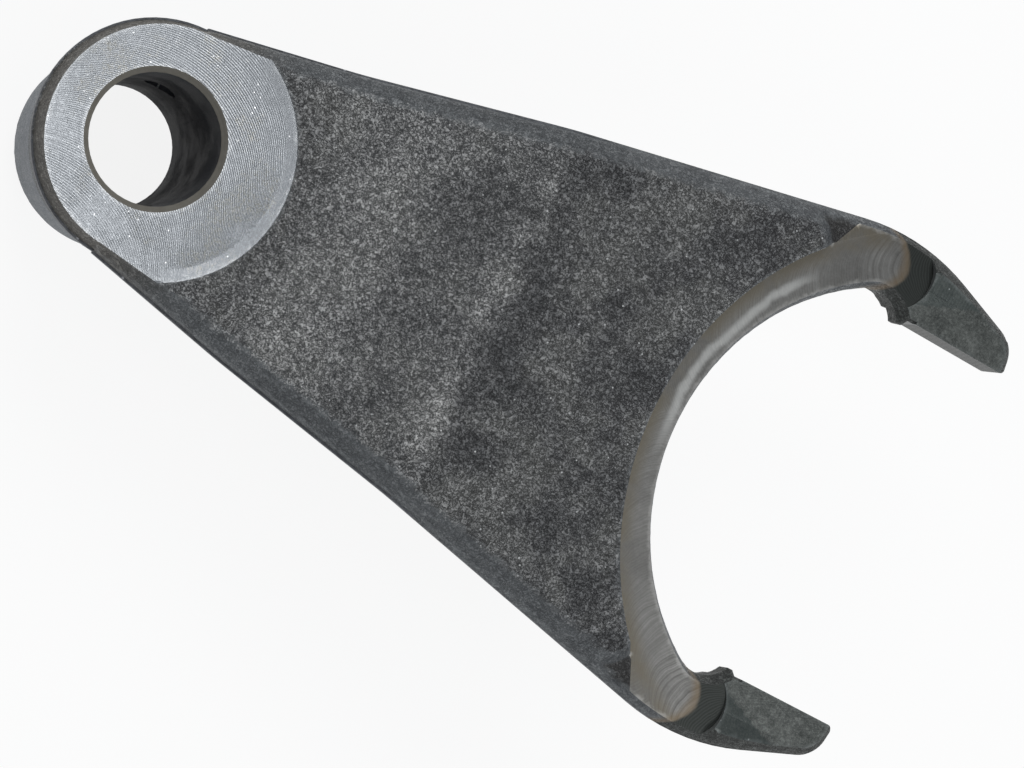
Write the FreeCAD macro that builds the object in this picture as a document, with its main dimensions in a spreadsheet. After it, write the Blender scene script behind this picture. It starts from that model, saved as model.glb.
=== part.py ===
import FreeCAD, Part
import os
import re
import Sketcher
from FreeCAD import Placement, Rotation, Vector

# The fork slides on a shaft through its boss and moves a lock sleeve with its two prongs.
# The origin is on the bore axis in the milled front face of the boss. Z runs along the
# bore, out of that face, and X runs from the boss to the prongs.

SIZES = {
    # Boss, bored for the shaft, and forged a little off the bore's axis
    "bore_diameter": 30,
    "bore_chamfer": 1.3,
    "boss_length": 59,
    "boss_offset": 1.6,
    "boss_parting_radius": 27.8,
    "boss_face_radius": 26.4,
    "rear_offset": 0.7,
    "rear_shift": 0.8,
    "rear_parting_radius": 27,
    "boss_rear_radius": 23.7,
    "rear_edge_chamfer": 0.8,
    "rear_fillet": 3,
    "facing_radius": 31.6,
    "facing_offset": 0.8,
    "facing_stock": 1.2,
    "flare_angle": 7.5,
    "flare_sink": 0.1,
    "flare_end": 24.5,
    "lock_hole_diameter": 8,
    "lock_hole_depth": 31,
    # Web, which steps up from the boss to the yoke over two bends
    "root_front": 0.35,
    "root_parting": -7.7,
    "root_back": -14.8,
    "yoke_front": 14.8,
    "yoke_parting": 8.3,
    "yoke_back": 0.2,
    "first_bend": 36,
    "second_bend": 82.4,
    "first_bend_radius": 24,
    "second_bend_radius": 18,
    "edge_bevel": 4.3,
    "flash_proud": 0.5,
    "flash_half_height": 0.8,
    # Yoke and prongs, as forged
    "prong_front": 13.6,
    "prong_half_width": 65.5,
    "prong_round": 55,
    "prong_arc_x": 169.6,
    "prong_angle": 20,
    "tip_reach": 207.7,
    "tip_skew": 7.7,
    "tip_corner_radius": 7,
    "tip_inner_radius": 2.5,
    "skin_reach": 149.2,
    "skin_corner_radius": 5.5,
    "opening_centre": 195.8,
    "opening_radius": 58,
    "opening_draft": 25.3,
    "opening_back_draft": 4,
    "opening_end": 177.6,
    "corner_radius": 8,
    "forged_half_gap": 46.1,
    # Milled crescent and pads
    "crescent_front": 12,
    "crescent_centre": 204,
    "crescent_path_radius": 66.2,
    "crescent_cutter_diameter": 18.4,
    "crescent_end": 169.7,
    "pad_gap": 94.6,
    "pad_front": 12.2,
    "pad_thickness": 9.3,
    "gap_start": 178.1,
    "pad_start": 174.6,
    "pad_start_half_width": 49.99,
    "pad_line_angle": 22,
    "pad_slope": 9.5,
}

# Lengths and angles that follow from the ones above
DERIVED = {
    "front_angle": "atan((yoke_front - root_front) / (second_bend - first_bend))",
    "parting_angle": "atan((yoke_parting - root_parting) / (second_bend - first_bend))",
    "back_angle": "atan((yoke_back - root_back) / (second_bend - first_bend))",
    "flash_radius": "boss_parting_radius + flash_proud",
    "prong_arc_y": "prong_half_width - prong_round",
    "arc_distance": "sqrt(pow(prong_arc_x - boss_offset; 2) + pow(prong_arc_y; 2))",
    "edge_angle": "asin(prong_arc_y / arc_distance) + asin((prong_round - flash_radius) / arc_distance)",
    "corner_x": "opening_end - corner_radius",
    "corner_y": "sqrt(pow(opening_radius - corner_radius; 2) - pow(opening_centre - corner_x; 2))",
    "crescent_end_y": "sqrt(pow(crescent_path_radius; 2) - pow(crescent_centre - crescent_end; 2))",
}

NAMES = re.compile(r"\b(" + "|".join(list(SIZES) + list(DERIVED)) + r")\b")

doc = FreeCAD.newDocument("fork_model")
sheet = doc.addObject("Spreadsheet::Sheet", "sizes")


def bound(text):
    """An expression on the sheet's cells, from one that names the sizes alone."""
    return NAMES.sub(r"sizes.\1", str(text))


def value(text):
    """The number that an expression has now."""
    return float(sheet.evalExpression(bound(text)))


def fill_sheet():
    row = 1
    for name, size in SIZES.items():
        sheet.set("A%d" % row, name)
        sheet.set("B%d" % row, str(size))
        sheet.setAlias("B%d" % row, name)
        row += 1
    doc.recompute()
    for name, formula in DERIVED.items():
        sheet.set("A%d" % row, name)
        sheet.set("B%d" % row, "=" + formula)
        sheet.setAlias("B%d" % row, name)
        row += 1
        doc.recompute()


fill_sheet()
body = doc.addObject("PartDesign::Body", "fork")
body.Label = "fork"
PLANES = {feature.Role: feature for feature in body.Origin.OriginFeatures}


def sketch_on(role, name, x="0", y="0", z="0", turn=None):
    """A sketch on an origin plane, moved to a point and turned about the Z axis."""
    sketch = body.newObject("Sketcher::SketchObject", name)
    sketch.AttachmentSupport = [(PLANES[role], "")]
    sketch.MapMode = "FlatFace"
    # Along the sketch's own axes, from the model's axes
    shift = {"XY_Plane": (x, y, z), "XZ_Plane": (x, z, "-(%s)" % y), "YZ_Plane": (y, z, x)}[role]
    for axis, text in zip("xyz", shift):
        sketch.setExpression("AttachmentOffset.Base." + axis, bound(text))
    if turn is not None:
        sketch.AttachmentOffset = Placement(Vector(0, 0, 0), Rotation(Vector(0, 1, 0), value(turn)))
        sketch.setExpression("AttachmentOffset.Rotation.Angle", bound(turn))
    return sketch


def fix_point(sketch, place, axis, text):
    """Holds one coordinate of a point to an expression."""
    kind = "DistanceX" if axis == 0 else "DistanceY"
    index = sketch.addConstraint(Sketcher.Constraint(kind, -1, 1, place[0], place[1], value(text)))
    sketch.setExpression("Constraints[%d]" % index, bound(text))


def draw(sketch, corners):
    """Closes an outline through corners. Each is (x, y) or, where a round stretch ends
    there, (x, y, centre x, centre y, turn), with the turn 1 anticlockwise and -1 clockwise.
    One coordinate of such a corner follows from the round and isn't fixed."""
    points = [Vector(value(c[0]), value(c[1]), 0) for c in corners]
    ends = []
    for i, corner in enumerate(corners):
        start, end = points[i - 1], points[i]
        if len(corner) == 2:
            geometry = sketch.addGeometry(Part.LineSegment(start, end), False)
            ends.append((geometry, 1, 2, None))
            continue
        centre = Vector(value(corner[2]), value(corner[3]), 0)
        first, last = (start, end) if corner[4] > 0 else (end, start)
        circle = Part.Circle(centre, Vector(0, 0, 1), (start - centre).Length)
        arc = Part.ArcOfCircle(circle, circle.parameter(first), circle.parameter(last))
        geometry = sketch.addGeometry(arc, False)
        free = 0 if abs(end.x - centre.x) > abs(end.y - centre.y) else 1
        ends.append((geometry, 1, 2, free) if corner[4] > 0 else (geometry, 2, 1, free))
        fix_point(sketch, (geometry, 3), 0, corner[2])
        fix_point(sketch, (geometry, 3), 1, corner[3])
    for i, (geometry, first, last, free) in enumerate(ends):
        after = ends[(i + 1) % len(ends)]
        sketch.addConstraint(Sketcher.Constraint("Coincident", geometry, last, after[0], after[1]))
    for (geometry, first, last, free), corner in zip(ends, corners):
        for axis in (0, 1):
            if axis != free:
                fix_point(sketch, (geometry, last), axis, corner[axis])
    return sketch


def ring(sketch, x, y, radius):
    """Adds a whole circle."""
    circle = Part.Circle(Vector(value(x), value(y), 0), Vector(0, 0, 1), value(radius))
    geometry = sketch.addGeometry(circle, False)
    for kind, axis, text in (("DistanceX", 0, x), ("DistanceY", 1, y)):
        fix_point(sketch, (geometry, 3), axis, text)
    index = sketch.addConstraint(Sketcher.Constraint("Radius", geometry, value(radius)))
    sketch.setExpression("Constraints[%d]" % index, bound(radius))
    return sketch


def feature(kind, name, sketch, **settings):
    """A feature on a sketch. A setting given as text is bound to the sheet."""
    item = body.newObject("PartDesign::" + kind, name)
    item.Profile = sketch
    for key, setting in settings.items():
        if isinstance(setting, str) and key not in ("Type", "SideType"):
            item.setExpression(key, bound(setting))
        else:
            setattr(item, key, setting)
    sketch.Visibility = False
    doc.recompute()
    return item


def both_ways(upper):
    """The corners of an outline that is the same on both sides of the X axis, from its
    upper half, which is given from the boss end to the tip end."""
    lower = []
    for i, corner in enumerate(upper):
        flipped = (corner[0], "-(%s)" % corner[1])
        after = upper[i + 1] if i + 1 < len(upper) else ()
        if len(after) == 5:
            flipped += (after[2], "-(%s)" % after[3], after[4])
        lower.append(flipped)
    return list(upper) + lower[::-1]


def jog(root, yoke, angle, back=False):
    """A line at one height along the web, from the root over both bends to the yoke."""
    first = "first_bend_radius * tan(%s / 2)" % angle
    second = "second_bend_radius * tan(%s / 2)" % angle
    low = ("first_bend - " + first, root)
    low_end = ("first_bend + %s * cos(%s)" % (first, angle), "%s + %s * sin(%s)" % (root, first, angle))
    high = ("second_bend - %s * cos(%s)" % (second, angle), "%s - %s * sin(%s)" % (yoke, second, angle))
    high_end = ("second_bend + " + second, yoke)
    low_centre = ("first_bend - " + first, root + " + first_bend_radius")
    high_centre = ("second_bend + " + second, yoke + " - second_bend_radius")
    if back:
        return [high_end, high + high_centre + (1,), low_end, low + low_centre + (-1,)]
    return [low, low_end + low_centre + (1,), high, high_end + high_centre + (-1,)]


def band(name, front, back):
    """A plate that follows the two bends, wider than the fork, between two heights."""
    side = sketch_on("XZ_Plane", name + "_side")
    reach = "tip_reach + 3"
    draw(side, [("0", front[0])] + jog(*front) + [(reach, front[1]), (reach, back[1])]
         + jog(*back, back=True) + [("0", back[0])])
    return feature("Pad", name, side, Length="3 * prong_half_width", Midplane=True)


def plan_outline(inset):
    """The fork seen along the bore, from where the web's edges touch the boss."""
    root = "(flash_radius - %s)" % inset
    turn = "(prong_round - %s)" % inset
    tip = "(tip_reach - %s / cos(tip_skew))" % inset
    flank = "(prong_arc_y + %s / cos(prong_angle) + prong_arc_x * tan(prong_angle))" % turn
    corner_x = "(%s + tan(tip_skew) * (pad_gap / 2 - %s)) / (1 - tan(tip_skew) * tan(prong_angle))" % (tip, flank)
    corner_y = "(%s - %s * tan(prong_angle))" % (flank, corner_x)
    # The tip's corner is rounded between the flank and the end
    round_off = "(tip_corner_radius + flash_proud - %s)" % inset
    set_back = "(%s * tan((90 - tip_skew - prong_angle) / 2))" % round_off
    arc_x = "%s - %s * cos(prong_angle)" % (corner_x, set_back)
    arc_y = "%s + %s * sin(prong_angle)" % (corner_y, set_back)
    return both_ways([
        ("boss_offset - %s * sin(edge_angle)" % root, "%s * cos(edge_angle)" % root),
        ("prong_arc_x - %s * sin(edge_angle)" % turn, "prong_arc_y + %s * cos(edge_angle)" % turn),
        ("prong_arc_x + %s * sin(prong_angle)" % turn, "prong_arc_y + %s * cos(prong_angle)" % turn,
         "prong_arc_x", "prong_arc_y", -1),
        (arc_x, arc_y),
        ("%s + %s * sin(tip_skew)" % (corner_x, set_back), "%s - %s * cos(tip_skew)" % (corner_y, set_back),
         "%s - %s * sin(prong_angle)" % (arc_x, round_off), "%s - %s * cos(prong_angle)" % (arc_y, round_off), -1),
        (tip + " + pad_gap / 10 * tan(tip_skew)", "pad_gap / 2 - pad_gap / 10"),
    ])


def trim(name, inset):
    """Cuts away everything outside the plan outline."""
    plan = sketch_on("XY_Plane", name + "_plan")
    draw(plan, plan_outline(inset))
    left, right, side = "-2 * flash_radius", "tip_reach + 20", "2 * prong_half_width"
    draw(plan, [(left, "-" + side), (right, "-" + side), (right, side), (left, side)])
    return feature("Pocket", name, plan, Type="ThroughAll", Midplane=True)


def edges_where(item, test):
    """The names of the edges that pass a test on the edge and the faces beside it."""
    shape = item.Shape
    names = []
    for number, edge in enumerate(shape.Edges, 1):
        faces = shape.ancestorsOfType(edge, Part.Face)
        if test(edge, faces):
            names.append("Edge%d" % number)
    return names


def steepness(face, point):
    """How far the face leans from upright at a point, 0 for an upright wall, 1 for a flat."""
    u, v = face.Surface.parameter(point)
    return abs(face.normalAt(u, v).z)


def middle(edge):
    return edge.valueAt((edge.FirstParameter + edge.LastParameter) / 2)


def is_rim(edge, faces):
    """An edge between an upright wall and the front or back of the web, past the root."""
    point = middle(edge)
    if len(faces) != 2 or point.x < 1:
        return False
    lean = sorted(steepness(face, point) for face in faces)
    return lean[0] < 0.1 and lean[1] > 0.8


def build_web():
    band("web", ("root_front", "yoke_front", "front_angle"), ("root_back", "yoke_back", "back_angle"))
    trimmed = trim("web_edge", "flash_proud")
    bevel = body.newObject("PartDesign::Chamfer", "edge_bevel")
    bevel.Base = (trimmed, edges_where(trimmed, is_rim))
    bevel.setExpression("Size", bound("edge_bevel"))
    doc.recompute()


def build_flash():
    """The thin strip left by the trimming die, all round the parting."""
    strip = sketch_on("XZ_Plane", "flash_side")
    reach = "tip_reach + 3"
    over, under = "%s + flash_half_height", "%s - flash_half_height"
    draw(strip, [("0", over % "root_parting")]
         + jog(over % "root_parting", over % "yoke_parting", "parting_angle")
         + [(reach, over % "yoke_parting"), (reach, under % "yoke_parting")]
         + jog(under % "root_parting", under % "yoke_parting", "parting_angle", back=True)
         + [("0", under % "root_parting")])
    feature("Pad", "flash", strip, Length="3 * prong_half_width", Midplane=True)
    trim("flash_edge", "0")


def build_boss():
    """A front and a rear half, which met a little off each other in the dies."""
    front = sketch_on("XZ_Plane", "boss_front_side", x="boss_offset")
    low, high = "root_parting - flash_half_height", "root_parting + flash_half_height"
    draw(front, [
        ("0", "facing_stock"),
        ("0", low),
        ("flash_radius", low),
        ("flash_radius", high),
        ("boss_parting_radius", high),
        ("boss_face_radius", "0"),
        ("boss_face_radius", "facing_stock"),
    ])
    feature("Revolution", "boss_front", front, ReferenceAxis=(front, ["V_Axis"]), Angle=360)
    rear = sketch_on("XZ_Plane", "boss_rear_side", x="rear_offset", y="-rear_shift")
    draw(rear, [
        ("0", "root_parting"),
        ("0", "-boss_length"),
        ("boss_rear_radius - rear_edge_chamfer", "-boss_length"),
        ("boss_rear_radius", "rear_edge_chamfer - boss_length"),
        ("rear_parting_radius", low),
        ("rear_parting_radius", "root_parting"),
    ])
    feature("Revolution", "boss_rear", rear, ReferenceAxis=(rear, ["V_Axis"]), Angle=360)


def build_flare():
    """Where the boss runs out into the web's edges, its drafted wall carries on a little."""
    radius = "(boss_face_radius - flare_sink)"
    start_x = "(boss_offset - %s * sin(flare_angle))" % radius
    start_y = "(%s * cos(flare_angle))" % radius
    end_y = "%s + (flare_end - %s) * tan(flare_angle)" % (start_y, start_x)
    plan = sketch_on("XY_Plane", "flare_plan")
    draw(plan, both_ways([(start_x, start_y), ("flare_end", end_y)]))
    drop = "(-root_parting - flash_half_height)"
    feature("Pad", "flare", plan, Length=drop, Reversed=True,
            TaperAngle="atan((boss_parting_radius - boss_face_radius) / %s)" % drop)


def build_bore():
    """The faced front, the bore with its two chamfers, and the cross hole into it."""
    face = sketch_on("XY_Plane", "facing_path")
    ring(face, "facing_offset", "0", "facing_radius")
    feature("Pocket", "facing", face, Length="boss_length", Reversed=True)
    side = sketch_on("XZ_Plane", "bore_side")
    radius, wide = "bore_diameter / 2", "bore_diameter / 2 + 2 * bore_chamfer"
    draw(side, [
        ("0", "bore_chamfer"),
        ("0", "-boss_length - bore_chamfer"),
        (wide, "-boss_length - bore_chamfer"),
        (radius, "bore_chamfer - boss_length"),
        (radius, "-bore_chamfer"),
        (wide, "bore_chamfer"),
    ])
    feature("Groove", "bore", side, ReferenceAxis=(side, ["V_Axis"]), Angle=360)
    hole = sketch_on("XZ_Plane", "lock_hole_place")
    ring(hole, "0", "-lock_hole_depth", "lock_hole_diameter / 2")
    last = feature("Pocket", "lock_hole", hole, Length="2 * boss_parting_radius")
    round_rear_root(last)


def is_rear_root(edge, faces):
    """The inner corner between the boss and the flat back of the web."""
    point = middle(edge)
    near = abs(point.z - value("root_back")) < 0.01 and point.x < value("first_bend")
    kinds = sorted(face.Surface.TypeId for face in faces)
    return near and kinds == ["Part::GeomCone", "Part::GeomPlane"]


def round_rear_root(last):
    root = body.newObject("PartDesign::Fillet", "rear_root")
    root.Base = (last, edges_where(last, is_rear_root))
    root.setExpression("Radius", bound("rear_fillet"))
    doc.recompute()


def build_opening():
    """The forged opening for the sleeve. Its wall leans back both ways from the parting."""
    wide = "(opening_radius / (opening_radius - corner_radius))"
    arc_x = "opening_centre - (opening_centre - corner_x) * " + wide
    arc_y = "corner_y * " + wide
    end_x = "corner_x + sqrt(pow(corner_radius; 2) - pow(forged_half_gap - corner_y; 2))"
    for word, draft in (("front", "opening_draft"), ("back", "opening_back_draft")):
        plan = sketch_on("XY_Plane", "opening_%s_plan" % word, z="yoke_parting")
        draw(plan, [
            ("gap_start", "-forged_half_gap"),
            ("gap_start", "forged_half_gap"),
            (end_x, "forged_half_gap"),
            (arc_x, arc_y, "corner_x", "corner_y", 1),
            (arc_x, "-" + arc_y, "opening_centre", "0", 1),
            (end_x, "-forged_half_gap", "corner_x", "-corner_y", 1),
        ])
        feature("Pocket", "opening_" + word, plan, Length="yoke_front - yoke_back",
                TaperAngle=draft, Reversed=word == "front")


def build_prongs():
    """The raised skin ends in two rounded corners that slope down to a milled floor, and
    beyond that the prongs carry on a little lower than the skin."""
    plan = sketch_on("XY_Plane", "skin_end_plan", z="crescent_front")
    drop = "(yoke_front - crescent_front)"
    low_radius = "(skin_corner_radius + %s)" % drop
    set_back = "(0.9 * edge_bevel + flash_proud + skin_corner_radius)"
    arc_x = "(skin_reach - skin_corner_radius)"
    arc_y = "((flash_radius - %s) / cos(edge_angle) + (%s - boss_offset) * tan(edge_angle))" % (set_back, arc_x)
    start_x = "(%s - %s * sin(edge_angle))" % (arc_x, low_radius)
    start_y = "(%s + %s * cos(edge_angle))" % (arc_y, low_radius)
    back_x = "(%s - 2 * skin_corner_radius * cos(edge_angle))" % start_x
    back_y = "(%s - 2 * skin_corner_radius * sin(edge_angle))" % start_y
    reach = "skin_reach + " + drop
    side = "1.5 * prong_half_width"
    draw(plan, [
        (back_x, "-" + side),
        ("crescent_end", "-" + side),
        ("crescent_end", side),
        (back_x, side),
        (back_x, back_y),
        (start_x, start_y),
        (reach, arc_y, arc_x, arc_y, -1),
        (reach, "-" + arc_y),
        (start_x, "-" + start_y, arc_x, "-" + arc_y, -1),
        (back_x, "-" + back_y),
    ])
    feature("Pocket", "skin_end", plan, Length=drop + " + 1", TaperAngle="45", Reversed=True)
    rest = sketch_on("XY_Plane", "prong_plan", z="prong_front")
    draw(rest, both_ways([("crescent_end", side), ("tip_reach + 20", side)]))
    feature("Pocket", "prong_front", rest, Length="yoke_front - prong_front + 1", Reversed=True)


def build_crescent():
    """The slot that a round cutter milled along an arc, round the front of the opening."""
    share = "crescent_cutter_diameter / 2 / crescent_path_radius"
    back = "(crescent_centre - crescent_end)"
    outer_x, inner_x = ["crescent_centre - %s * (1 %s %s)" % (back, sign, share) for sign in "+-"]
    outer_y, inner_y = ["crescent_end_y * (1 %s %s)" % (sign, share) for sign in "+-"]
    path = sketch_on("XY_Plane", "crescent_path", z="crescent_front")
    draw(path, [
        (outer_x, outer_y),
        (outer_x, "-" + outer_y, "crescent_centre", "0", 1),
        (inner_x, "-" + inner_y),
        (inner_x, inner_y, "crescent_centre", "0", -1),
    ])
    feature("Pocket", "crescent", path, Length="yoke_front - crescent_front + 1", Reversed=True)
    ends = sketch_on("XY_Plane", "crescent_ends_plan", z="crescent_front")
    ring(ends, "crescent_end", "crescent_end_y", "crescent_cutter_diameter / 2")
    ring(ends, "crescent_end", "-crescent_end_y", "crescent_cutter_diameter / 2")
    feature("Pocket", "crescent_ends", ends, Length="yoke_front - crescent_front + 1", Reversed=True)


def build_pads():
    """Both faces of each prong are milled flat, up to a slanted line with a slope beyond."""
    plan = sketch_on("XY_Plane", "gap_plan")
    half = "pad_gap / 2"
    round_x = "tip_reach - tip_inner_radius * (tan(tip_skew) + 1 / cos(tip_skew))"
    round_end_x = round_x + " + tip_inner_radius * cos(tip_skew)"
    round_end_y = half + " + tip_inner_radius * (1 + sin(tip_skew))"
    draw(plan, both_ways([
        ("gap_start", half),
        (round_x, half),
        (round_end_x, round_end_y, round_x, half + " + tip_inner_radius", 1),
        ("tip_reach + 20", round_end_y),
    ]))
    feature("Pocket", "gap", plan, Type="ThroughAll", Midplane=True)
    side = sketch_on("YZ_Plane", "pad_side", x="pad_start", y="pad_start_half_width", turn="pad_line_angle")
    inner, outer, clear = "-prong_half_width / 2", "prong_half_width / 2", "boss_length / 2"
    rise = "%s * tan(pad_slope)" % outer
    pad_back = "pad_front - pad_thickness"
    draw(side, [(inner, "pad_front"), ("0", "pad_front"), (outer, "pad_front + " + rise),
                (outer, "pad_front + " + clear), (inner, "pad_front + " + clear)])
    draw(side, [(inner, pad_back), (inner, pad_back + " - " + clear), (outer, pad_back + " - " + clear),
                (outer, "%s - %s" % (pad_back, rise)), ("0", pad_back)])
    pads = feature("Pocket", "pad_faces", side, Length="tip_reach - pad_start + 20", Reversed=True)
    other = body.newObject("PartDesign::Mirrored", "other_pad_faces")
    other.Originals = [pads]
    other.MirrorPlane = (PLANES["XZ_Plane"], [""])
    body.Tip = other
    doc.recompute()


def check():
    """Stops the build where a feature has failed or the fork isn't one sound solid."""
    for item in doc.Objects:
        if "Invalid" in item.State or "Error" in item.State:
            raise RuntimeError("%s can't be built" % item.Name)
        if item.TypeId.startswith("PartDesign") and (item.Shape.isNull() or not item.Shape.isValid()):
            raise RuntimeError("%s has no sound shape" % item.Name)
    if len(body.Shape.Solids) != 1:
        raise RuntimeError("the fork isn't one solid")


build_web()
build_flash()
build_boss()
build_flare()
build_bore()
build_opening()
build_prongs()
build_crescent()
build_pads()
doc.recompute()
check()
print("volume mm3", round(body.Shape.Volume), "faces", len(body.Shape.Faces))
os.makedirs("parts", exist_ok=True)
body.Shape.exportStep("parts/fork.step")
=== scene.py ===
import math

import bmesh
import bpy
import numpy as np
from mathutils import Matrix, Vector, kdtree, noise


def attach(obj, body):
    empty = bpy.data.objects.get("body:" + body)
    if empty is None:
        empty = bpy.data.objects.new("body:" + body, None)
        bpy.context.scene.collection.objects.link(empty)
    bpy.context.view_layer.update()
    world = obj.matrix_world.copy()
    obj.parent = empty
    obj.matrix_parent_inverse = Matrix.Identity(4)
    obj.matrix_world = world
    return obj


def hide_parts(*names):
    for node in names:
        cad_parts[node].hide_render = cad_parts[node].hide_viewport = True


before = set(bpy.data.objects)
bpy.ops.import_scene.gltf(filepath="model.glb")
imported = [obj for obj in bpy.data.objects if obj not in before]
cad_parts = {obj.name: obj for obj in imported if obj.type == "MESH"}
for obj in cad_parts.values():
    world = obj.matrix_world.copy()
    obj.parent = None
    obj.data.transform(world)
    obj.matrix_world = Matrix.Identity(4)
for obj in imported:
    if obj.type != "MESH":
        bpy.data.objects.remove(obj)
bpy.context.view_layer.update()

# Fork, solid form
# One drop forging in steel. Its boss, crescent and prongs are milled and its bore is bored.
# Forged corners are rounded, milled ones are crisp, and trimmed flash runs round the parting.

FACING_CENTRE, FACING_RADIUS = (0.0008, 0.0), 0.0316
YOKE_CENTRE, CUTTER_PATH, CUTTER_RADIUS = (0.204, 0.0), 0.0662, 0.0092
CRESCENT_END = (0.1697, 0.05662)          # where the crescent's cutter stopped, on both prongs
CRESCENT_HEIGHT = 0.012
BITE, SLANT = (0.1510, 0.0524), 0.47      # the slanting line where that cutter first bit
BITE_START = 0.0545                       # how far out from the middle that line begins
BORE_RADIUS, BORE_CHAMFER = 0.015, 0.0013
LOCK_HOLE_RADIUS, LOCK_HOLE_HEIGHT = 0.004, -0.031
LOCK_HOLE_REACH = 0.0245                  # from the bore's axis to where the hole's wall ends
BOSS_LENGTH, BOSS_PARTING_RADIUS = 0.059, 0.0278
PAD_HEIGHTS = (0.0122, 0.0029)
PAD_HALF_GAP = 0.0473
PAD_START, LOW_WALL_START = 0.17, 0.172   # x past which a pad lies, and the low wall beside it
GAP_CORNERS = (0.1715, 0.0545)            # past this x and within this half width
TIPS = 0.2045                             # x past which the tips lie
CREST = 0.0824                            # x where the web bends back level for the yoke
EDGE_START, EDGE_ANGLE = 0.0016, math.radians(12.7)
PRONG_ARC, PRONG_RADIUS = (0.1696, 0.0100), 0.0550
LOW_PARTING, HIGH_PARTING = -0.0077, 0.0083
LOW_PARTING_END, HIGH_PARTING_START = 0.03, 0.09
FLASH_HALF_HEIGHT = 0.00081
CELL = 0.00125                            # edge length of the fine mesh
HAIR, TOUCH = 0.00003, 0.0001             # how near a flat face and a round wall have to be
LEVEL, UPRIGHT = 0.99, 0.3                # height of the normal on a level face, and on a wall
SHARP, CREASE = 0.3, 0.35                 # bends that wear bright and get a painted highlight, and bends that stay crisp

SKIN, FACE, CRESCENT, PAD, BORE, FLASH = range(6)

# Knocks from handling, each with its place, its reach and its depth
KNOCKS = (
    ((0.0318, 0.0290, 0.0003), 0.0016, 0.00040),
    ((0.0560, -0.0270, 0.0066), 0.0015, 0.00040),
    ((0.0340, -0.0304, 0.0003), 0.0042, 0.00055),
    ((0.0905, 0.0300, 0.0148), 0.0012, 0.00030),
    ((0.0700, 0.0120, 0.0110), 0.0010, 0.00025),
    ((0.1120, -0.0270, 0.0148), 0.0013, 0.00030),
    ((0.1010, 0.0070, 0.0148), 0.0010, 0.00025),
    ((0.0480, 0.0160, 0.0040), 0.0014, 0.00030),
    ((0.1240, 0.0330, 0.0148), 0.0012, 0.00030),
)


def past_wall(x, y):
    """How far a place lies outside the web's wall, on whose foot the flash stands."""
    if x > PRONG_ARC[0] - PRONG_RADIUS * math.sin(EDGE_ANGLE):
        return math.hypot(x - PRONG_ARC[0], abs(y) - PRONG_ARC[1]) - PRONG_RADIUS
    outward = (EDGE_START - x) * math.sin(EDGE_ANGLE) + abs(y) * math.cos(EDGE_ANGLE)
    return outward - BOSS_PARTING_RADIUS


def past_bite(x, y):
    """How far a place lies beyond the slanting line where the crescent's cutter first bit."""
    return x - BITE[0] - SLANT * (abs(y) - BITE[1])


def is_bored(x, y, z, normal):
    """On the bore's wall or its chamfers, or in the hole through one side of the boss."""
    from_bore = math.hypot(x, y)
    if from_bore < BORE_RADIUS + BORE_CHAMFER + TOUCH and abs(normal.z) < 0.9:
        return True
    in_hole = math.hypot(x, z - LOCK_HOLE_HEIGHT) < LOCK_HOLE_RADIUS + 2 * TOUCH
    on_wall = abs(normal.z) < 0.999 and abs(normal.y) < 0.2
    return in_hole and on_wall and y > 0 and from_bore < LOCK_HOLE_REACH


def is_faced(x, y, z, normal):
    """On the boss's milled ends, or on the low wall round the front one."""
    if z < -BOSS_LENGTH + TOUCH:
        return True
    past_facing = math.hypot(x - FACING_CENTRE[0], y) - FACING_RADIUS
    on_floor = abs(z) < HAIR and abs(normal.z) > LEVEL and past_facing < TOUCH
    on_wall = z > -HAIR and abs(normal.z) < UPRIGHT and abs(past_facing) < TOUCH
    return on_floor or on_wall


def is_pad(x, y, z, normal):
    """On a pad's milled faces, on the slope beside it, or on the gap's wall."""
    flat = abs(normal.z)
    on_face = min(abs(z - height) for height in PAD_HEIGHTS) < HAIR and flat > LEVEL
    in_gap = abs(abs(y) - PAD_HALF_GAP) < HAIR and abs(normal.y) > 0.99
    on_slope = 0.975 < flat < LEVEL and 0.1 < abs(normal.y) < 0.25
    return x > PAD_START and (on_face or in_gap or on_slope)


def is_flash(x, y, z, normal):
    """On the strip of trimmed flash that stands out round the parting."""
    if x < LOW_PARTING_END:
        near = abs(z - LOW_PARTING) < FLASH_HALF_HEIGHT
        return near and math.hypot(x, y) > BOSS_PARTING_RADIUS - 0.0013
    if x > HIGH_PARTING_START:
        near = abs(z - HIGH_PARTING) < FLASH_HALF_HEIGHT
        return near and abs(normal.z) < LEVEL and past_wall(x, y) > -0.002
    # On the slope between the two levels, only the flash stands out past the wall
    return past_wall(x, y) > 0.00001


def surface_kind(point, normal):
    """What made this bit of the surface: the die, or which of the cutters."""
    x, y, z = point
    if is_bored(x, y, z, normal):
        return BORE
    if is_faced(x, y, z, normal):
        return FACE
    if abs(z - CRESCENT_HEIGHT) < HAIR and abs(normal.z) > LEVEL:
        return CRESCENT if abs(y) < BITE_START or past_bite(x, y) > 0 else SKIN
    if z > CRESCENT_HEIGHT - HAIR and abs(normal.z) < UPRIGHT:
        from_path = math.hypot(x - YOKE_CENTRE[0], y) - CUTTER_PATH
        from_end = math.hypot(x - CRESCENT_END[0], abs(y) - CRESCENT_END[1])
        on_end = abs(from_end - CUTTER_RADIUS) < 6 * TOUCH
        if on_end and x > LOW_WALL_START:
            return PAD
        if on_end or abs(from_path - CUTTER_RADIUS) < 2 * TOUCH:
            return CRESCENT
    if is_pad(x, y, z, normal):
        return PAD
    if is_flash(x, y, z, normal):
        return FLASH
    return SKIN


def slice_once(mesh, faces, point, normal):
    """Cuts some of the faces along a plane."""
    edges = {edge for face in faces for edge in face.edges}
    corners = {vertex for face in faces for vertex in face.verts}
    geometry = list(faces) + list(edges) + list(corners)
    bmesh.ops.bisect_plane(mesh, geom=geometry, dist=2e-6, plane_co=point, plane_no=normal)


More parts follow.
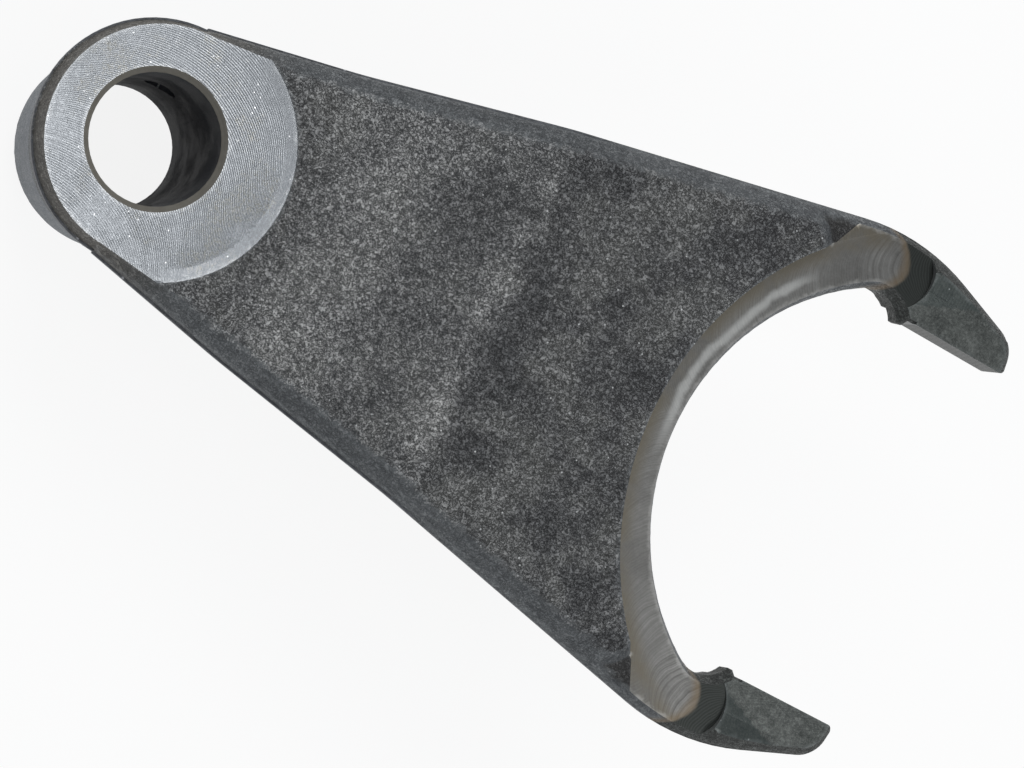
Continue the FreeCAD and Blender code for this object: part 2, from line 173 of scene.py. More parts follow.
def slice_evenly(mesh):
    """Cuts the mesh along even planes on all three axes, so that it can be worked finely."""
    corners = np.array([v.co for v in mesh.verts])
    for axis in range(3):
        normal = [0, 0, 0]
        normal[axis] = 1
        place = corners[:, axis].min() + 0.4 * CELL
        while place < corners[:, axis].max():
            point = [0, 0, 0]
            point[axis] = place
            slice_once(mesh, mesh.faces, point, normal)
            place += CELL
    # Along the line where the crescent's cutter first bit, on both prongs
    for side in (1, -1):
        floor = []
        for face in mesh.faces:
            x, y, z = face.calc_center_median()
            if abs(z - CRESCENT_HEIGHT) < HAIR and y * side > 0.05 and x < 0.165:
                floor.append(face)
        slice_once(mesh, floor, (BITE[0], BITE[1] * side, 0), (1, -SLANT * side, 0))
    bmesh.ops.triangulate(mesh, faces=mesh.faces[:])


def near_corners(mesh, reach):
    """For each vertex, 1 on a corner that sticks out, falling to 0 at the reach."""
    corners = []
    for edge in mesh.edges:
        if len(edge.link_faces) == 2 and edge.calc_face_angle_signed(0) > SHARP:
            corners.append((edge.verts[0].co + edge.verts[1].co) / 2)
    tree = kdtree.KDTree(len(corners))
    for number, corner in enumerate(corners):
        tree.insert(corner, number)
    tree.balance()
    return [max(0.0, 1 - tree.find(vertex.co)[2] / reach) for vertex in mesh.verts]


def round_forged(mesh, kinds):
    """Rounds the corners that the die left, and leaves every cut corner crisp."""
    mesh.verts.index_update()
    mesh.verts.ensure_lookup_table()
    place = np.array([v.co for v in mesh.verts])
    free = np.array([all(kinds[f.index] == SKIN for f in v.link_faces) for v in mesh.verts])
    # The cutters left the tips and the corners beside the gap crisp
    beside_gap = (place[:, 0] > GAP_CORNERS[0]) & (np.abs(place[:, 1]) < GAP_CORNERS[1])
    free &= (place[:, 0] < TIPS) & ~beside_gap
    ends = np.array([[v.index for v in e.verts] for e in mesh.edges])
    count = np.bincount(ends.ravel(), minlength=len(place)).reshape(-1, 1)
    turns = 9
    for turn in range(turns):
        total = np.zeros_like(place)
        np.add.at(total, ends[:, 0], place[ends[:, 1]])
        np.add.at(total, ends[:, 1], place[ends[:, 0]])
        place = np.where(free.reshape(-1, 1), 0.5 * place + 0.5 * total / count, place)
    for vertex, spot in zip(mesh.verts, place):
        vertex.co = spot
    return free


def forge_unevenness(mesh, free):
    """The die's skin isn't flat: low swells, shallow pits and knocks, always into the metal."""
    mesh.normal_update()
    for vertex, is_free in zip(mesh.verts, free):
        if not is_free:
            continue
        level = abs(vertex.normal.z) ** 4
        swell = 0.5 + 0.5 * noise.noise(vertex.co * 70)
        pits = max(0.0, noise.noise(vertex.co * 420 + Vector((7, 3, 1))) - 0.15)
        depth = 0.00008 * swell + level * (0.00012 * swell + 0.0003 * pits)
        for spot, reach, deepest in KNOCKS:
            away = (vertex.co - Vector(spot)).length / reach
            if away < 1:
                depth += deepest * (1 - away * away) ** 2
        vertex.co -= vertex.normal * depth


def make_fork():
    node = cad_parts["fork"]
    mesh = bmesh.new()
    mesh.from_mesh(node.data)
    bmesh.ops.remove_doubles(mesh, verts=mesh.verts, dist=2e-6)
    bmesh.ops.dissolve_limit(mesh, angle_limit=0.002, verts=mesh.verts, edges=mesh.edges)
    slice_evenly(mesh)
    mesh.faces.index_update()
    mesh.normal_update()
    kinds = [surface_kind(f.calc_center_median(), f.normal) for f in mesh.faces]
    for face, kind in zip(mesh.faces, kinds):
        face.material_index = kind
        face.smooth = True
    for edge in mesh.edges:
        if len(edge.link_faces) == 2:
            one, other = edge.link_faces
            crisp = kinds[one.index] != SKIN or kinds[other.index] != SKIN
            if crisp and one.normal.angle(other.normal, 0) > CREASE:
                edge.smooth = False
    corner = near_corners(mesh, reach=0.0022)
    free = round_forged(mesh, kinds)
    forge_unevenness(mesh, free)
    data = bpy.data.meshes.new("fork_forging")
    mesh.to_mesh(data)
    mesh.free()
    data.attributes.new("corner", "FLOAT", "POINT").data.foreach_set("value", corner)
    piece = bpy.data.objects.new("fork_forging", data)
    bpy.context.scene.collection.objects.link(piece)
    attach(piece, "root")
    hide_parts("fork")
    return piece


fork = make_fork()

# Fork, surfaces
# Oxide skin from the forge on most of it, with a fine speckled grain. The milled faces are
# bright steel with the marks of each cutter, and the heat of hardening blued the prongs.


def put(tree, kind, *values, **settings):
    """Adds a node. Each value is another node's socket, a number, or None to leave as it is."""
    made = tree.nodes.new("ShaderNode" + kind)
    for name, setting in settings.items():
        setattr(made, name, setting)
    for socket, value in zip(made.inputs, values):
        feed(tree, socket, value)
    return made


def feed(tree, socket, value):
    if isinstance(value, bpy.types.NodeSocket):
        tree.links.new(value, socket)
    elif value is not None:
        socket.default_value = value


def calc(tree, operation, *values):
    return put(tree, "Math", *values, operation=operation).outputs[0]


def plus(tree, one, other):
    return calc(tree, "ADD", one, other)


def minus(tree, one, other):
    return calc(tree, "SUBTRACT", one, other)


def times(tree, one, other):
    return calc(tree, "MULTIPLY", one, other)


def share_of(tree, value, share, rest):
    """The value times its share, on top of the rest."""
    return calc(tree, "MULTIPLY_ADD", value, share, rest)


def level_from(tree, place, centre):
    """The level step from an upright axis to a place, and how long it is."""
    away = put(tree, "VectorMath", place, centre, operation="SUBTRACT").outputs[0]
    level = put(tree, "VectorMath", away, (1, 1, 0), operation="MULTIPLY").outputs[0]
    return level, put(tree, "VectorMath", level, operation="LENGTH").outputs["Value"]


def ramp(tree, value, low, high, to_low=0.0, to_high=1.0):
    """A soft step of a value, from one end of a range to the other."""
    made = put(tree, "MapRange", value, low, high, to_low, to_high, interpolation_type="SMOOTHSTEP")
    return made.outputs[0]


def blend(tree, share, one, other):
    """Mixes two colours, each a socket or three numbers."""
    made = tree.nodes.new("ShaderNodeMix")
    made.data_type = "RGBA"
    for socket, value in zip((made.inputs[0], made.inputs[6], made.inputs[7]), (share, one, other)):
        feed(tree, socket, (*value, 1) if isinstance(value, tuple) else value)
    return made.outputs[2]


def start_effect(name, takes, gives):
    """A node group for an effect that several materials use, with named inputs and outputs."""
    group = bpy.data.node_groups.new(name, "ShaderNodeTree")
    for label, usual in takes.items():
        kind = "NodeSocketVector" if isinstance(usual, tuple) else "NodeSocketFloat"
        group.interface.new_socket(label, in_out="INPUT", socket_type=kind).default_value = usual
    for label in gives:
        group.interface.new_socket(label, in_out="OUTPUT", socket_type="NodeSocketFloat")
    given = group.nodes.new("NodeGroupInput").outputs
    return group, given, group.nodes.new("NodeGroupOutput").inputs


def use(tree, effect, **values):
    made = tree.nodes.new("ShaderNodeGroup")
    made.node_tree = effect
    for label, value in values.items():
        feed(tree, made.inputs[label.replace("_", " ")], value)
    return made.outputs


def make_grain():
    """Speckle of light and dark grains, larger clouds of tone, and a few bright specks."""
    group, given, out = start_effect(
        "grain", {"Size": 0.0007, "Contrast": 1.0, "Veins": 0.0, "Specks": 0.0},
        ("Speckle", "Clouds", "Bright", "Height"))
    place = put(group, "TexCoord").outputs["Object"]
    often = calc(group, "DIVIDE", 1.0, given["Size"])
    fine = put(group, "TexNoise", place, None, often, 3.0, 0.75).outputs[0]
    coarse = put(group, "TexNoise", place, None, times(group, often, 0.31), 3.0, 0.6).outputs[0]
    both = plus(group, times(group, fine, 0.6), times(group, coarse, 0.4))
    spread = share_of(group, minus(group, both, 0.5), given["Contrast"], 0.5)
    spread = calc(group, "MINIMUM", calc(group, "MAXIMUM", spread, 0.0), 1.0)
    # Thin dark veins between the grains, where a noise of its own crosses its middle
    vein = put(group, "TexNoise", place, None, times(group, often, 0.62), 2.0, 0.65, 2.0, 0.6)
    from_middle = calc(group, "ABSOLUTE", minus(group, vein.outputs[0], 0.5))
    vein = ramp(group, from_middle, 0.065, 0.012)
    kept = minus(group, 1.0, times(group, vein, given["Veins"]))
    feed(group, out["Speckle"], times(group, spread, kept))
    clouds = put(group, "TexNoise", place, None, 62.0, 5.0, 0.62).outputs[0]
    feed(group, out["Clouds"], ramp(group, clouds, 0.34, 0.66))
    cell = put(group, "TexVoronoi", place, None, times(group, often, 0.55))
    spot = ramp(group, cell.outputs["Distance"], 0.30, 0.12)
    chosen = put(group, "SeparateColor", cell.outputs["Color"]).outputs[0]
    few = calc(group, "GREATER_THAN", given["Specks"], chosen)
    feed(group, out["Bright"], times(group, spot, few))
    feed(group, out["Height"], times(group, both, kept))
    return group


def make_edge_wear_and_highlight():
    """Where a corner is rubbed bright and gets a painted highlight: near corners that stick out,
    broken up by noise.
    """
    group, given, out = start_effect("edge_wear_and_highlight", {"Amount": 0.5}, ("Wear and highlight",))
    near = put(group, "Attribute", attribute_name="corner").outputs["Fac"]
    place = put(group, "TexCoord").outputs["Object"]
    patchy = put(group, "TexNoise", place, None, 420.0, 3.0, 0.6).outputs[0]
    reach = plus(group, near, share_of(group, patchy, 1.1, -0.55))
    feed(group, out["Wear and highlight"], times(group, ramp(group, reach, 0.5, 1.05), given["Amount"]))
    return group


def finish_marks(group, travel, given, often, out):
    """Turns the cutter's travel into lines, and into a tone of its own for each mark."""
    place = put(group, "TexCoord").outputs["Object"]
    wobble = put(group, "TexNoise", place, None, often, 2.0).outputs[0]
    marks = calc(group, "DIVIDE", travel, given["Pitch"])
    marks = plus(group, marks, times(group, wobble, given["Wander"]))
    wave = calc(group, "SINE", times(group, marks, 2 * math.pi))
    feed(group, out["Line"], share_of(group, wave, 0.5, 0.5))
    number = put(group, "CombineXYZ", times(group, marks, 0.7)).outputs[0]
    feed(group, out["Tooth"], put(group, "TexNoise", number, None, 1.0, 3.0, 0.7).outputs[0])


def make_straight_feed_marks():
    """Arcs that a face mill leaves, all of one radius, one behind the other along its feed."""
    group, given, out = start_effect(
        "straight_feed_marks",
        {"Centre": (0.0, 0.0, 0.0), "Feed": (0.0, -1.0, 0.0), "Radius": 0.03, "Pitch": 0.0008,
         "Wander": 0.3},
        ("Line", "Tooth"))
    place = put(group, "TexCoord").outputs["Object"]
    level, length = level_from(group, place, given["Centre"])
    along = put(group, "VectorMath", level, given["Feed"], operation="DOT_PRODUCT")
    along = along.outputs["Value"]
    # The cutter's centre lies ahead by what its radius leaves over from the step sideways
    sideways = minus(group, times(group, length, length), times(group, along, along))
    left = minus(group, times(group, given["Radius"], given["Radius"]), sideways)
    travel = plus(group, along, calc(group, "SQRT", calc(group, "MAXIMUM", left, 0.0)))
    finish_marks(group, travel, given, 60.0, out)
    return group


def make_round_feed_marks():
    """Arcs left by a cutter whose own centre went round a larger circle."""
    group, given, out = start_effect(
        "round_feed_marks",
        {"Centre": (0.0, 0.0, 0.0), "Path": 0.066, "Radius": 0.009, "Pitch": 0.001,
         "Wander": 0.5},
        ("Line", "Tooth"))
    place = put(group, "TexCoord").outputs["Object"]
    level, length = level_from(group, place, given["Centre"])
    part = put(group, "SeparateXYZ", level).outputs
    # The same on both prongs, counted from the middle of the yoke
    across = calc(group, "ABSOLUTE", part[1])
    angle = calc(group, "ARCTAN2", across, times(group, part[0], -1.0))
    # By the cosine rule, how far the cutter's centre lies behind the mark
    squares = plus(group, times(group, length, length), times(group, given["Path"], given["Path"]))
    squares = minus(group, squares, times(group, given["Radius"], given["Radius"]))
    twice = times(group, times(group, length, given["Path"]), 2.0)
    cosine = calc(group, "MINIMUM", calc(group, "DIVIDE", squares, twice), 1.0)
    lag = calc(group, "ARCCOSINE", cosine)
    travel = times(group, plus(group, angle, lag), given["Path"])
    finish_marks(group, travel, given, 110.0, out)
    return group


def make_heat_tint():
    """How far the prong's heating coloured the steel: a straw band, then blue-black to the tip."""
    group, given, out = start_effect("heat_tint", {"Start": 0.1719}, ("Straw", "Blue"))
    place = put(group, "TexCoord").outputs["Object"]
    part = put(group, "SeparateXYZ", place).outputs
    # The border bows round the middle of the prong
    off = minus(group, calc(group, "ABSOLUTE", part[1]), 0.057)
    off = calc(group, "MAXIMUM", off, -0.008)
    bow = times(group, times(group, off, off), 90.0)
    ragged = put(group, "TexNoise", place, None, 260.0, 3.0).outputs[0]
    ragged = share_of(group, ragged, 0.0012, -0.0006)
    into = minus(group, plus(group, plus(group, part[0], bow), ragged), given["Start"])
    feed(group, out["Straw"], ramp(group, into, -0.0032, -0.0004))
    feed(group, out["Blue"], ramp(group, into, -0.0004, 0.0009))
    return group


GRAIN = make_grain()
EDGE_WEAR_AND_HIGHLIGHT = make_edge_wear_and_highlight()
STRAIGHT_MARKS = make_straight_feed_marks()
ROUND_MARKS = make_round_feed_marks()
HEAT_TINT = make_heat_tint()

STRAW = (0.20, 0.145, 0.085)
HEAT_DARK, HEAT_PALE = (0.013, 0.017, 0.018), (0.072, 0.082, 0.080)


def start_surface(name, metal, rough):
    """A new material on the fork, in the order of the kinds of surface."""
    material = bpy.data.materials.new(name)
    material.use_nodes = True
    shader = material.node_tree.nodes["Principled BSDF"]
    shader.inputs["Metallic"].default_value = metal
    shader.inputs["Roughness"].default_value = rough
    fork.data.materials.append(material)
    return material.node_tree, shader


def bump(tree, shader, height, depth):
    """The bump's depth is in metres for a height from 0 to 1."""
    made = put(tree, "Bump")
    made.inputs["Strength"].default_value = 1.0
    made.inputs["Distance"].default_value = depth
    feed(tree, made.inputs["Height"], height)
    feed(tree, shader.inputs["Normal"], made.outputs[0])


def tint(tree, colour, relief):
    """The heat tint over a surface's own colour. Its marks or grain still show in it."""
    heat = use(tree, HEAT_TINT)
    straw = blend(tree, times(tree, heat["Straw"], 0.6), colour, STRAW)
    blued = blend(tree, relief, HEAT_DARK, HEAT_PALE)
    return blend(tree, times(tree, heat["Blue"], 0.93), straw, blued)


def make_forged_skin():
    tree, shader = start_surface("forged_skin", 0.4, 0.5)
    where = put(tree, "TexCoord").outputs
    part = put(tree, "SeparateXYZ", where["Object"]).outputs
    lean = calc(tree, "ABSOLUTE", put(tree, "SeparateXYZ", where["Normal"]).outputs[2])
    grain = use(tree, GRAIN, Size=0.00052, Contrast=4.0, Veins=0.85, Specks=0.03)
    # The flat of the web: painted light on the sloping part before the crest, brightest on the
    # first bend, painted shade close to the boss, and a painted highlight along the crest
    # Painted light: the sloping web is lighter than the level yoke past the crest
    slope = ramp(tree, part[0], 0.090, 0.080, 0.0, 0.20)
    # Painted light on the first bend, falling to painted shade close to the boss
    painted_bend_light = times(tree, ramp(tree, part[0], 0.032, 0.042), ramp(tree, part[0], 0.070, 0.050))
    # Painted highlight along the crest, broken up by the clouds
    past_crest = calc(tree, "ABSOLUTE", minus(tree, part[0], CREST - 0.0002))
    broken = ramp(tree, grain["Clouds"], -0.3, 0.9)
    crest_highlight = times(tree, ramp(tree, past_crest, 0.0050, 0.0003), broken)
    tone = share_of(tree, grain["Clouds"], 0.44, slope)
    tone = share_of(tree, painted_bend_light, 0.30, tone)
    tone = share_of(tree, crest_highlight, 0.42, tone)
    dark = blend(tree, tone, (0.010, 0.010, 0.011), (0.040, 0.041, 0.042))
    light = blend(tree, tone, (0.128, 0.131, 0.135), (0.520, 0.520, 0.515))
    flat = blend(tree, grain["Speckle"], dark, light)
    olive = ramp(tree, grain["Clouds"], 0.3, 0.9, 0.0, 0.12)
    flat = blend(tree, olive, flat, (0.088, 0.090, 0.072))
    flat = blend(tree, grain["Bright"], flat, (0.50, 0.51, 0.51))
    # Painted shade in the low corners beside the crescent, which the cutter passed by
    low = ramp(tree, part[2], CRESCENT_HEIGHT + 0.0013, CRESCENT_HEIGHT + 0.0002)
    # Painted shade where the surface lies low beside the crescent
    corner_shade = times(tree, low, ramp(tree, part[0], 0.120, 0.130))
    flat = blend(tree, times(tree, corner_shade, 0.75), flat, (0.022, 0.021, 0.020))
    # The drafted edges: smoother and bluer, where the die drew the metal along
    along = put(tree, "VectorMath", where["Object"], (0.25, 1, 1.6), operation="MULTIPLY")
    drawn = put(tree, "TexNoise", along.outputs[0], None, 700.0, 4.0, 0.6).outputs[0]
    edge = blend(tree, grain["Clouds"], (0.070, 0.077, 0.084), (0.140, 0.150, 0.158))
    edge = blend(tree, ramp(tree, drawn, 0.45, 0.66, 0.0, 0.35), edge, (0.150, 0.158, 0.162))
    edge = blend(tree, ramp(tree, drawn, 0.50, 0.36, 0.0, 0.35), edge, (0.022, 0.023, 0.025))
    speckled = blend(tree, grain["Speckle"], (0.022, 0.023, 0.025), (0.240, 0.250, 0.256))
    edge = blend(tree, 0.45, edge, speckled)
    # Scorched brown round the front half of the boss, and blue-grey round the rear half
    front = times(tree, ramp(tree, part[2], -0.009, -0.006), ramp(tree, part[0], 0.024, -0.005))
    scorched = blend(tree, grain["Speckle"], (0.070, 0.063, 0.052), (0.190, 0.172, 0.145))
    edge = blend(tree, times(tree, front, 0.75), edge, scorched)
    rear = ramp(tree, part[2], -0.012, -0.018)
    edge = blend(tree, times(tree, rear, 0.6), edge, (0.215, 0.235, 0.262))
    ragged = share_of(tree, grain["Speckle"], 0.10, lean)
    colour = blend(tree, ramp(tree, ragged, 0.84, 1.0), edge, flat)
    # Wear and a painted highlight along the corners that stick out
    wear_and_highlight = use(tree, EDGE_WEAR_AND_HIGHLIGHT, Amount=0.32)["Wear and highlight"]
    colour = blend(tree, wear_and_highlight, colour, (0.24, 0.255, 0.265))
    feed(tree, shader.inputs["Base Color"], tint(tree, colour, grain["Speckle"]))
    feed(tree, shader.inputs["Roughness"], ramp(tree, grain["Speckle"], 0.0, 1.0, 0.66, 0.40))
    bump(tree, shader, grain["Height"], 0.00042)


def make_boss_face():
    tree, shader = start_surface("milled_boss_face", 1.0, 0.34)
    marks = use(tree, STRAIGHT_MARKS, Centre=(*FACING_CENTRE, 0.0), Feed=(-0.34, -0.94, 0.0),
                Radius=FACING_RADIUS, Pitch=0.00056, Wander=0.7)
    grain = use(tree, GRAIN, Size=0.0005, Contrast=3.0, Veins=0.35, Specks=0.05)
    # The rim that the cutter ran over last, on the yoke's side, has hardly any marks
    where = put(tree, "TexCoord").outputs["Object"]
    part = put(tree, "SeparateXYZ", where).outputs
    level, reach = level_from(tree, where, (*FACING_CENTRE, 0.0))
    rim = ramp(tree, reach, FACING_RADIUS - 0.0032, FACING_RADIUS - 0.0022)
    smooth = times(tree, rim, ramp(tree, part[0], 0.012, 0.018))
    broken = times(tree, ramp(tree, grain["Clouds"], -0.4, 0.9), minus(tree, 1.0, smooth))
    line = times(tree, minus(tree, marks["Line"], 0.5), broken)
    tone = share_of(tree, marks["Tooth"], 0.45, times(tree, line, 0.50))
    tone = share_of(tree, grain["Clouds"], 0.16, tone)
    tone = share_of(tree, grain["Speckle"], 0.32, tone)
    colour = blend(tree, tone, (0.150, 0.158, 0.170), (0.500, 0.522, 0.545))
    colour = blend(tree, grain["Bright"], colour, (0.85, 0.86, 0.87))
    stain = ramp(tree, times(tree, grain["Speckle"], grain["Clouds"]), 0.25, 0.7)
    colour = blend(tree, times(tree, stain, 0.5), colour, (0.29, 0.27, 0.215))
    # Wear and a painted highlight along the face's crisp edges
    wear_and_highlight = use(tree, EDGE_WEAR_AND_HIGHLIGHT, Amount=0.35)["Wear and highlight"]
    feed(tree, shader.inputs["Base Color"], blend(tree, wear_and_highlight, colour, (0.70, 0.71, 0.72)))
    feed(tree, shader.inputs["Roughness"], ramp(tree, tone, 0.2, 0.8, 0.28, 0.17))
    bump(tree, shader, plus(tree, line, times(tree, grain["Height"], 0.8)), 0.00002)


def make_crescent():
    tree, shader = start_surface("milled_crescent", 1.0, 0.36)
    marks = use(tree, ROUND_MARKS, Centre=(*YOKE_CENTRE, 0.0), Path=CUTTER_PATH,
                Radius=CUTTER_RADIUS, Pitch=0.0007, Wander=4.5)
    grain = use(tree, GRAIN, Size=0.0006, Contrast=2.4, Veins=0.2)
    # The marks show strongly at the prongs, where the cutter dwelt, and in patches elsewhere
    where = put(tree, "TexCoord").outputs["Object"]
    dwelt = ramp(tree, put(tree, "SeparateXYZ", where).outputs[0], 0.152, 0.166, 0.0, 0.55)
    shown = plus(tree, ramp(tree, grain["Clouds"], 0.25, 0.95, 0.12, 0.6), dwelt)
    scored = minus(tree, ramp(tree, marks["Tooth"], 0.30, 0.70), 0.5)
    scored = times(tree, scored, shown)
    tone = share_of(tree, scored, 0.70, share_of(tree, marks["Line"], 0.06, 0.20))
    tone = share_of(tree, grain["Clouds"], 0.22, tone)
    tone = share_of(tree, grain["Speckle"], 0.22, tone)
    colour = blend(tree, tone, (0.075, 0.073, 0.068), (0.360, 0.354, 0.340))
    # Oil has browned the outer side of the cut, and a painted highlight runs along the step that
    # one pass left, on the upper stretch only
    level, radius = level_from(tree, where, (*YOKE_CENTRE, 0.0))
    side = put(tree, "SeparateXYZ", level).outputs[1]
    outer = ramp(tree, radius, CUTTER_PATH + 0.0038, CUTTER_PATH + 0.0083)
    outer = times(tree, outer, ramp(tree, grain["Clouds"], -0.2, 0.8))
    colour = blend(tree, times(tree, outer, 0.8), colour, (0.165, 0.145, 0.108))
    # Painted highlight along the step between two passes
    pass_highlight = minus(tree, share_of(tree, grain["Clouds"], 0.0011, radius), CUTTER_PATH + 0.0045)
    pass_highlight = ramp(tree, calc(tree, "ABSOLUTE", pass_highlight), 0.0017, 0.0002)
    upper = times(tree, ramp(tree, side, -0.012, 0.004), ramp(tree, side, 0.047, 0.040))
    pass_highlight = times(tree, times(tree, pass_highlight, upper), 0.6)
    colour = blend(tree, pass_highlight, colour, (0.62, 0.62, 0.60))
    # Wear and a painted highlight along the crescent's edges
    wear_and_highlight = use(tree, EDGE_WEAR_AND_HIGHLIGHT, Amount=0.5)["Wear and highlight"]
    colour = blend(tree, wear_and_highlight, colour, (0.50, 0.49, 0.47))
    relief = share_of(tree, marks["Line"], 0.30, times(tree, marks["Tooth"], 0.55))
    feed(tree, shader.inputs["Base Color"], tint(tree, colour, relief))
    feed(tree, shader.inputs["Roughness"], ramp(tree, marks["Tooth"], 0.2, 0.8, 0.46, 0.28))
    bump(tree, shader, marks["Line"], 0.000006)


def make_pads():
    tree, shader = start_surface("milled_pads", 0.6, 0.42)
    marks = use(tree, STRAIGHT_MARKS, Centre=(0.1745, 0.0, 0.0), Feed=(-1.0, 0.0, 0.0),
                Radius=0.056, Pitch=0.00085, Wander=1.2)
    grain = use(tree, GRAIN, Size=0.0006, Contrast=3.4, Veins=0.5, Specks=0.03)
    where = put(tree, "TexCoord").outputs
    steep = calc(tree, "ABSOLUTE", put(tree, "SeparateXYZ", where["Normal"]).outputs[2])
    along = put(tree, "SeparateXYZ", where["Object"]).outputs[0]
    tone = share_of(tree, marks["Tooth"], 0.20, times(tree, marks["Line"], 0.08))
    tone = share_of(tree, grain["Speckle"], 0.62, tone)
    tone = share_of(tree, grain["Clouds"], 0.20, minus(tree, tone, 0.08))
    colour = blend(tree, tone, (0.012, 0.015, 0.014), (0.170, 0.180, 0.170))
    # The sloping part beside the flat pad stays darker and smoother
    slope = times(tree, ramp(tree, steep, 0.996, 0.990), ramp(tree, steep, 0.3, 0.9))
    colour = blend(tree, times(tree, slope, 0.62), colour, (0.028, 0.038, 0.037))
    # The gap's own wall gets painted shade, and the low wall where the crescent's cutter stopped is
    # bare
    upright = ramp(tree, steep, 0.6, 0.2)
    # Painted shade on the gap's own wall
    gap_wall_shade = times(tree, upright, ramp(tree, along, 0.1795, 0.1805))
    colour = blend(tree, times(tree, gap_wall_shade, 0.55), colour, (0.012, 0.014, 0.014))
    wall = times(tree, upright, ramp(tree, along, 0.1805, 0.1795))
    colour = blend(tree, times(tree, wall, 0.7), colour, (0.22, 0.225, 0.225))
    colour = blend(tree, grain["Bright"], colour, (0.30, 0.32, 0.32))
    # Wear and a painted highlight along the pads' edges
    wear_and_highlight = use(tree, EDGE_WEAR_AND_HIGHLIGHT, Amount=0.35)["Wear and highlight"]
    feed(tree, shader.inputs["Base Color"], blend(tree, wear_and_highlight, colour, (0.17, 0.185, 0.185)))
    feed(tree, shader.inputs["Roughness"], ramp(tree, marks["Line"], 0.0, 1.0, 0.52, 0.38))
    bump(tree, shader, marks["Line"], 0.000012)


def make_bore():
    # Painted shade: a near-black wall with little shine, so the bore stays dark and gives back
    # little of the light from the open ends
    tree, shader = start_surface("bored_wall", 0.0, 0.7)
    shader.inputs["Specular IOR Level"].default_value = 0.12
    part = put(tree, "SeparateXYZ", put(tree, "TexCoord").outputs["Object"]).outputs
    grain = use(tree, GRAIN, Size=0.0014, Contrast=0.9)
    ring_pitch = 0.0006
    rings = calc(tree, "SINE", times(tree, part[2], 2 * math.pi / ring_pitch))
    rings = share_of(tree, rings, 0.5, 0.5)
    # Painted shade in the bore wall's near-black colour
    wall = blend(tree, grain["Clouds"], (0.022, 0.023, 0.027), (0.040, 0.042, 0.048))
    wall = blend(tree, times(tree, rings, 0.18), wall, (0.06, 0.06, 0.06))
    edge = blend(tree, grain["Speckle"], (0.085, 0.078, 0.064), (0.200, 0.190, 0.168))
    half = BOSS_LENGTH / 2
    from_middle = calc(tree, "ABSOLUTE", plus(tree, part[2], half))
    chamfered = ramp(tree, from_middle, half - BORE_CHAMFER - 0.0002, half - BORE_CHAMFER)
    feed(tree, shader.inputs["Base Color"], blend(tree, chamfered, wall, edge))
    feed(tree, shader.inputs["Roughness"], ramp(tree, grain["Clouds"], 0.0, 1.0, 0.62, 0.8))
    bump(tree, shader, rings, 0.00002)


def make_flash():
    tree, shader = start_surface("trimmed_flash", 0.5, 0.5)
    grain = use(tree, GRAIN, Size=0.0008, Contrast=1.2, Specks=0.06)
    colour = blend(tree, grain["Speckle"], (0.030, 0.031, 0.034), (0.105, 0.110, 0.118))
    colour = blend(tree, grain["Bright"], colour, (0.4, 0.4, 0.42))
    # Wear and a painted highlight along the flash's edges
    wear_and_highlight = use(tree, EDGE_WEAR_AND_HIGHLIGHT, Amount=0.25)["Wear and highlight"]
    colour = blend(tree, wear_and_highlight, colour, (0.22, 0.23, 0.25))
    feed(tree, shader.inputs["Base Color"], tint(tree, colour, grain["Speckle"]))
    feed(tree, shader.inputs["Roughness"], ramp(tree, grain["Speckle"], 0.0, 1.0, 0.6, 0.4))
    bump(tree, shader, grain["Height"], 0.0003)


make_forged_skin()
make_boss_face()
make_crescent()
make_pads()
make_bore()
make_flash()

# Floor, light and camera
# A plain white ground under the fork, big soft lamps, and the photograph's own viewpoint.


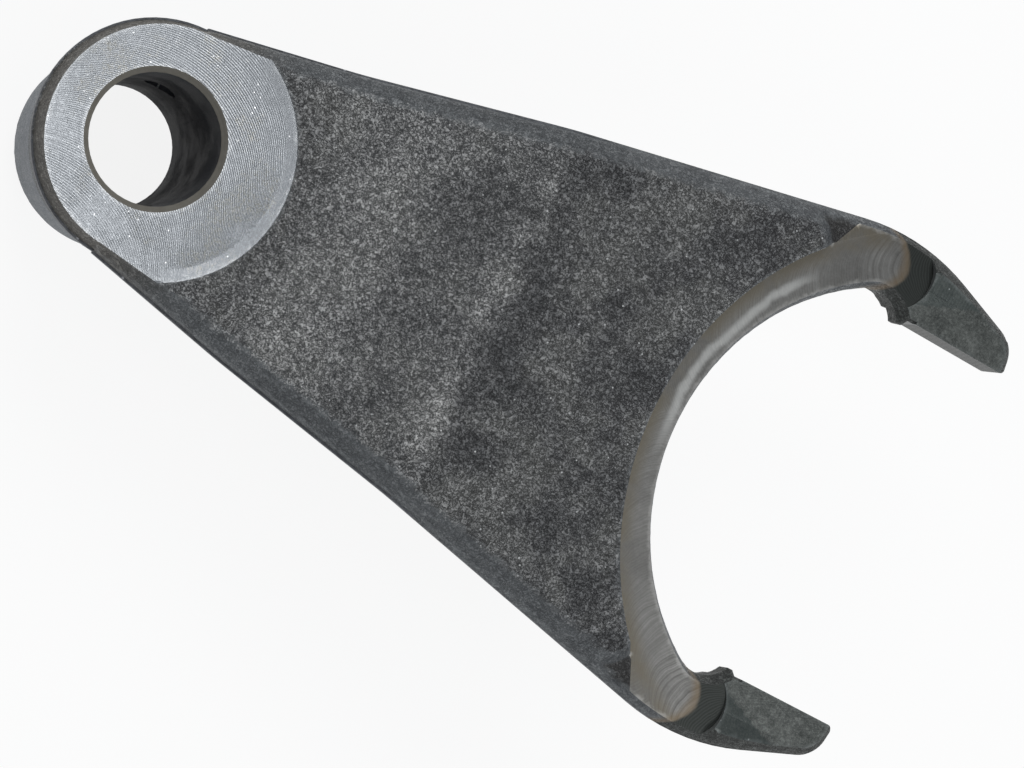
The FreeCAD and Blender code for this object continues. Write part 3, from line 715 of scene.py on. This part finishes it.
def make_floor():
    data = bpy.data.meshes.new("floor")
    half = 3
    height = -BOSS_LENGTH - 0.0005        # just clear of the boss's rear end
    corners = [(-half, -half, height), (half, -half, height),
               (half, half, height), (-half, half, height)]
    data.from_pydata(corners, [], [(0, 1, 2, 3)])
    floor = bpy.data.objects.new("floor", data)
    bpy.context.scene.collection.objects.link(floor)
    material = bpy.data.materials.new("white_ground")
    material.use_nodes = True
    tree = material.node_tree
    shader = tree.nodes["Principled BSDF"]
    shader.inputs["Base Color"].default_value = (0.8, 0.8, 0.8, 1)
    shader.inputs["Roughness"].default_value = 0.9
    glow = tree.nodes.new("ShaderNodeEmission")
    path = tree.nodes.new("ShaderNodeLightPath")
    mix = tree.nodes.new("ShaderNodeMixShader")
    # White to the eye and in the metal's reflections, with some of the soft shadow kept
    seen = calc(tree, "MAXIMUM", path.outputs["Is Camera Ray"], path.outputs["Is Glossy Ray"])
    seen = calc(tree, "MAXIMUM", seen, path.outputs["Is Transmission Ray"])
    feed(tree, mix.inputs[0], times(tree, seen, 0.88))
    tree.links.new(shader.outputs[0], mix.inputs[1])
    tree.links.new(glow.outputs[0], mix.inputs[2])
    tree.links.new(mix.outputs[0], tree.nodes["Material Output"].inputs["Surface"])
    data.materials.append(material)


def lamp(name, place, target, size, power):
    data = bpy.data.lights.new(name, "AREA")
    data.shape = "RECTANGLE"
    data.size, data.size_y = size
    data.energy = power
    light = bpy.data.objects.new(name, data)
    bpy.context.scene.collection.objects.link(light)
    light.location = place
    light.rotation_euler = (Vector(target) - Vector(place)).to_track_quat("-Z", "Y").to_euler()


make_floor()
middle = (0.09, 0, 0)
lamp("window", (0.115, 0.092, 1.15), (-0.02, -0.02, 0), (0.36, 0.16), 0.62)
lamp("side", (-0.3, 0.9, 1.0), middle, (0.8, 0.8), 9)
lamp("fill", (0.9, -0.5, 0.8), middle, (0.8, 0.8), 6)
world = bpy.data.worlds.new("studio")
world.use_nodes = True
world.node_tree.nodes["Background"].inputs["Color"].default_value = (0.92, 0.96, 1, 1)
world.node_tree.nodes["Background"].inputs["Strength"].default_value = 0.45
bpy.context.scene.world = world

camera_data = bpy.data.cameras.new("photo_view")
camera_data.lens = 98.52
camera_data.sensor_width = 36
camera_data.clip_start = 0.01
camera = bpy.data.objects.new("photo_view", camera_data)
bpy.context.scene.collection.objects.link(camera)
right, up, back = (0.8389, 0.4465, 0.3114), (-0.4543, 0.8894, -0.0515), (-0.2999, -0.0982, 0.9489)
turn = Matrix((right, up, back)).transposed().to_4x4()
camera.matrix_world = Matrix.Translation((-0.09595, -0.07438, 0.61931)) @ turn
bpy.context.scene.camera = camera
bpy.context.scene.view_settings.view_transform = "Standard"
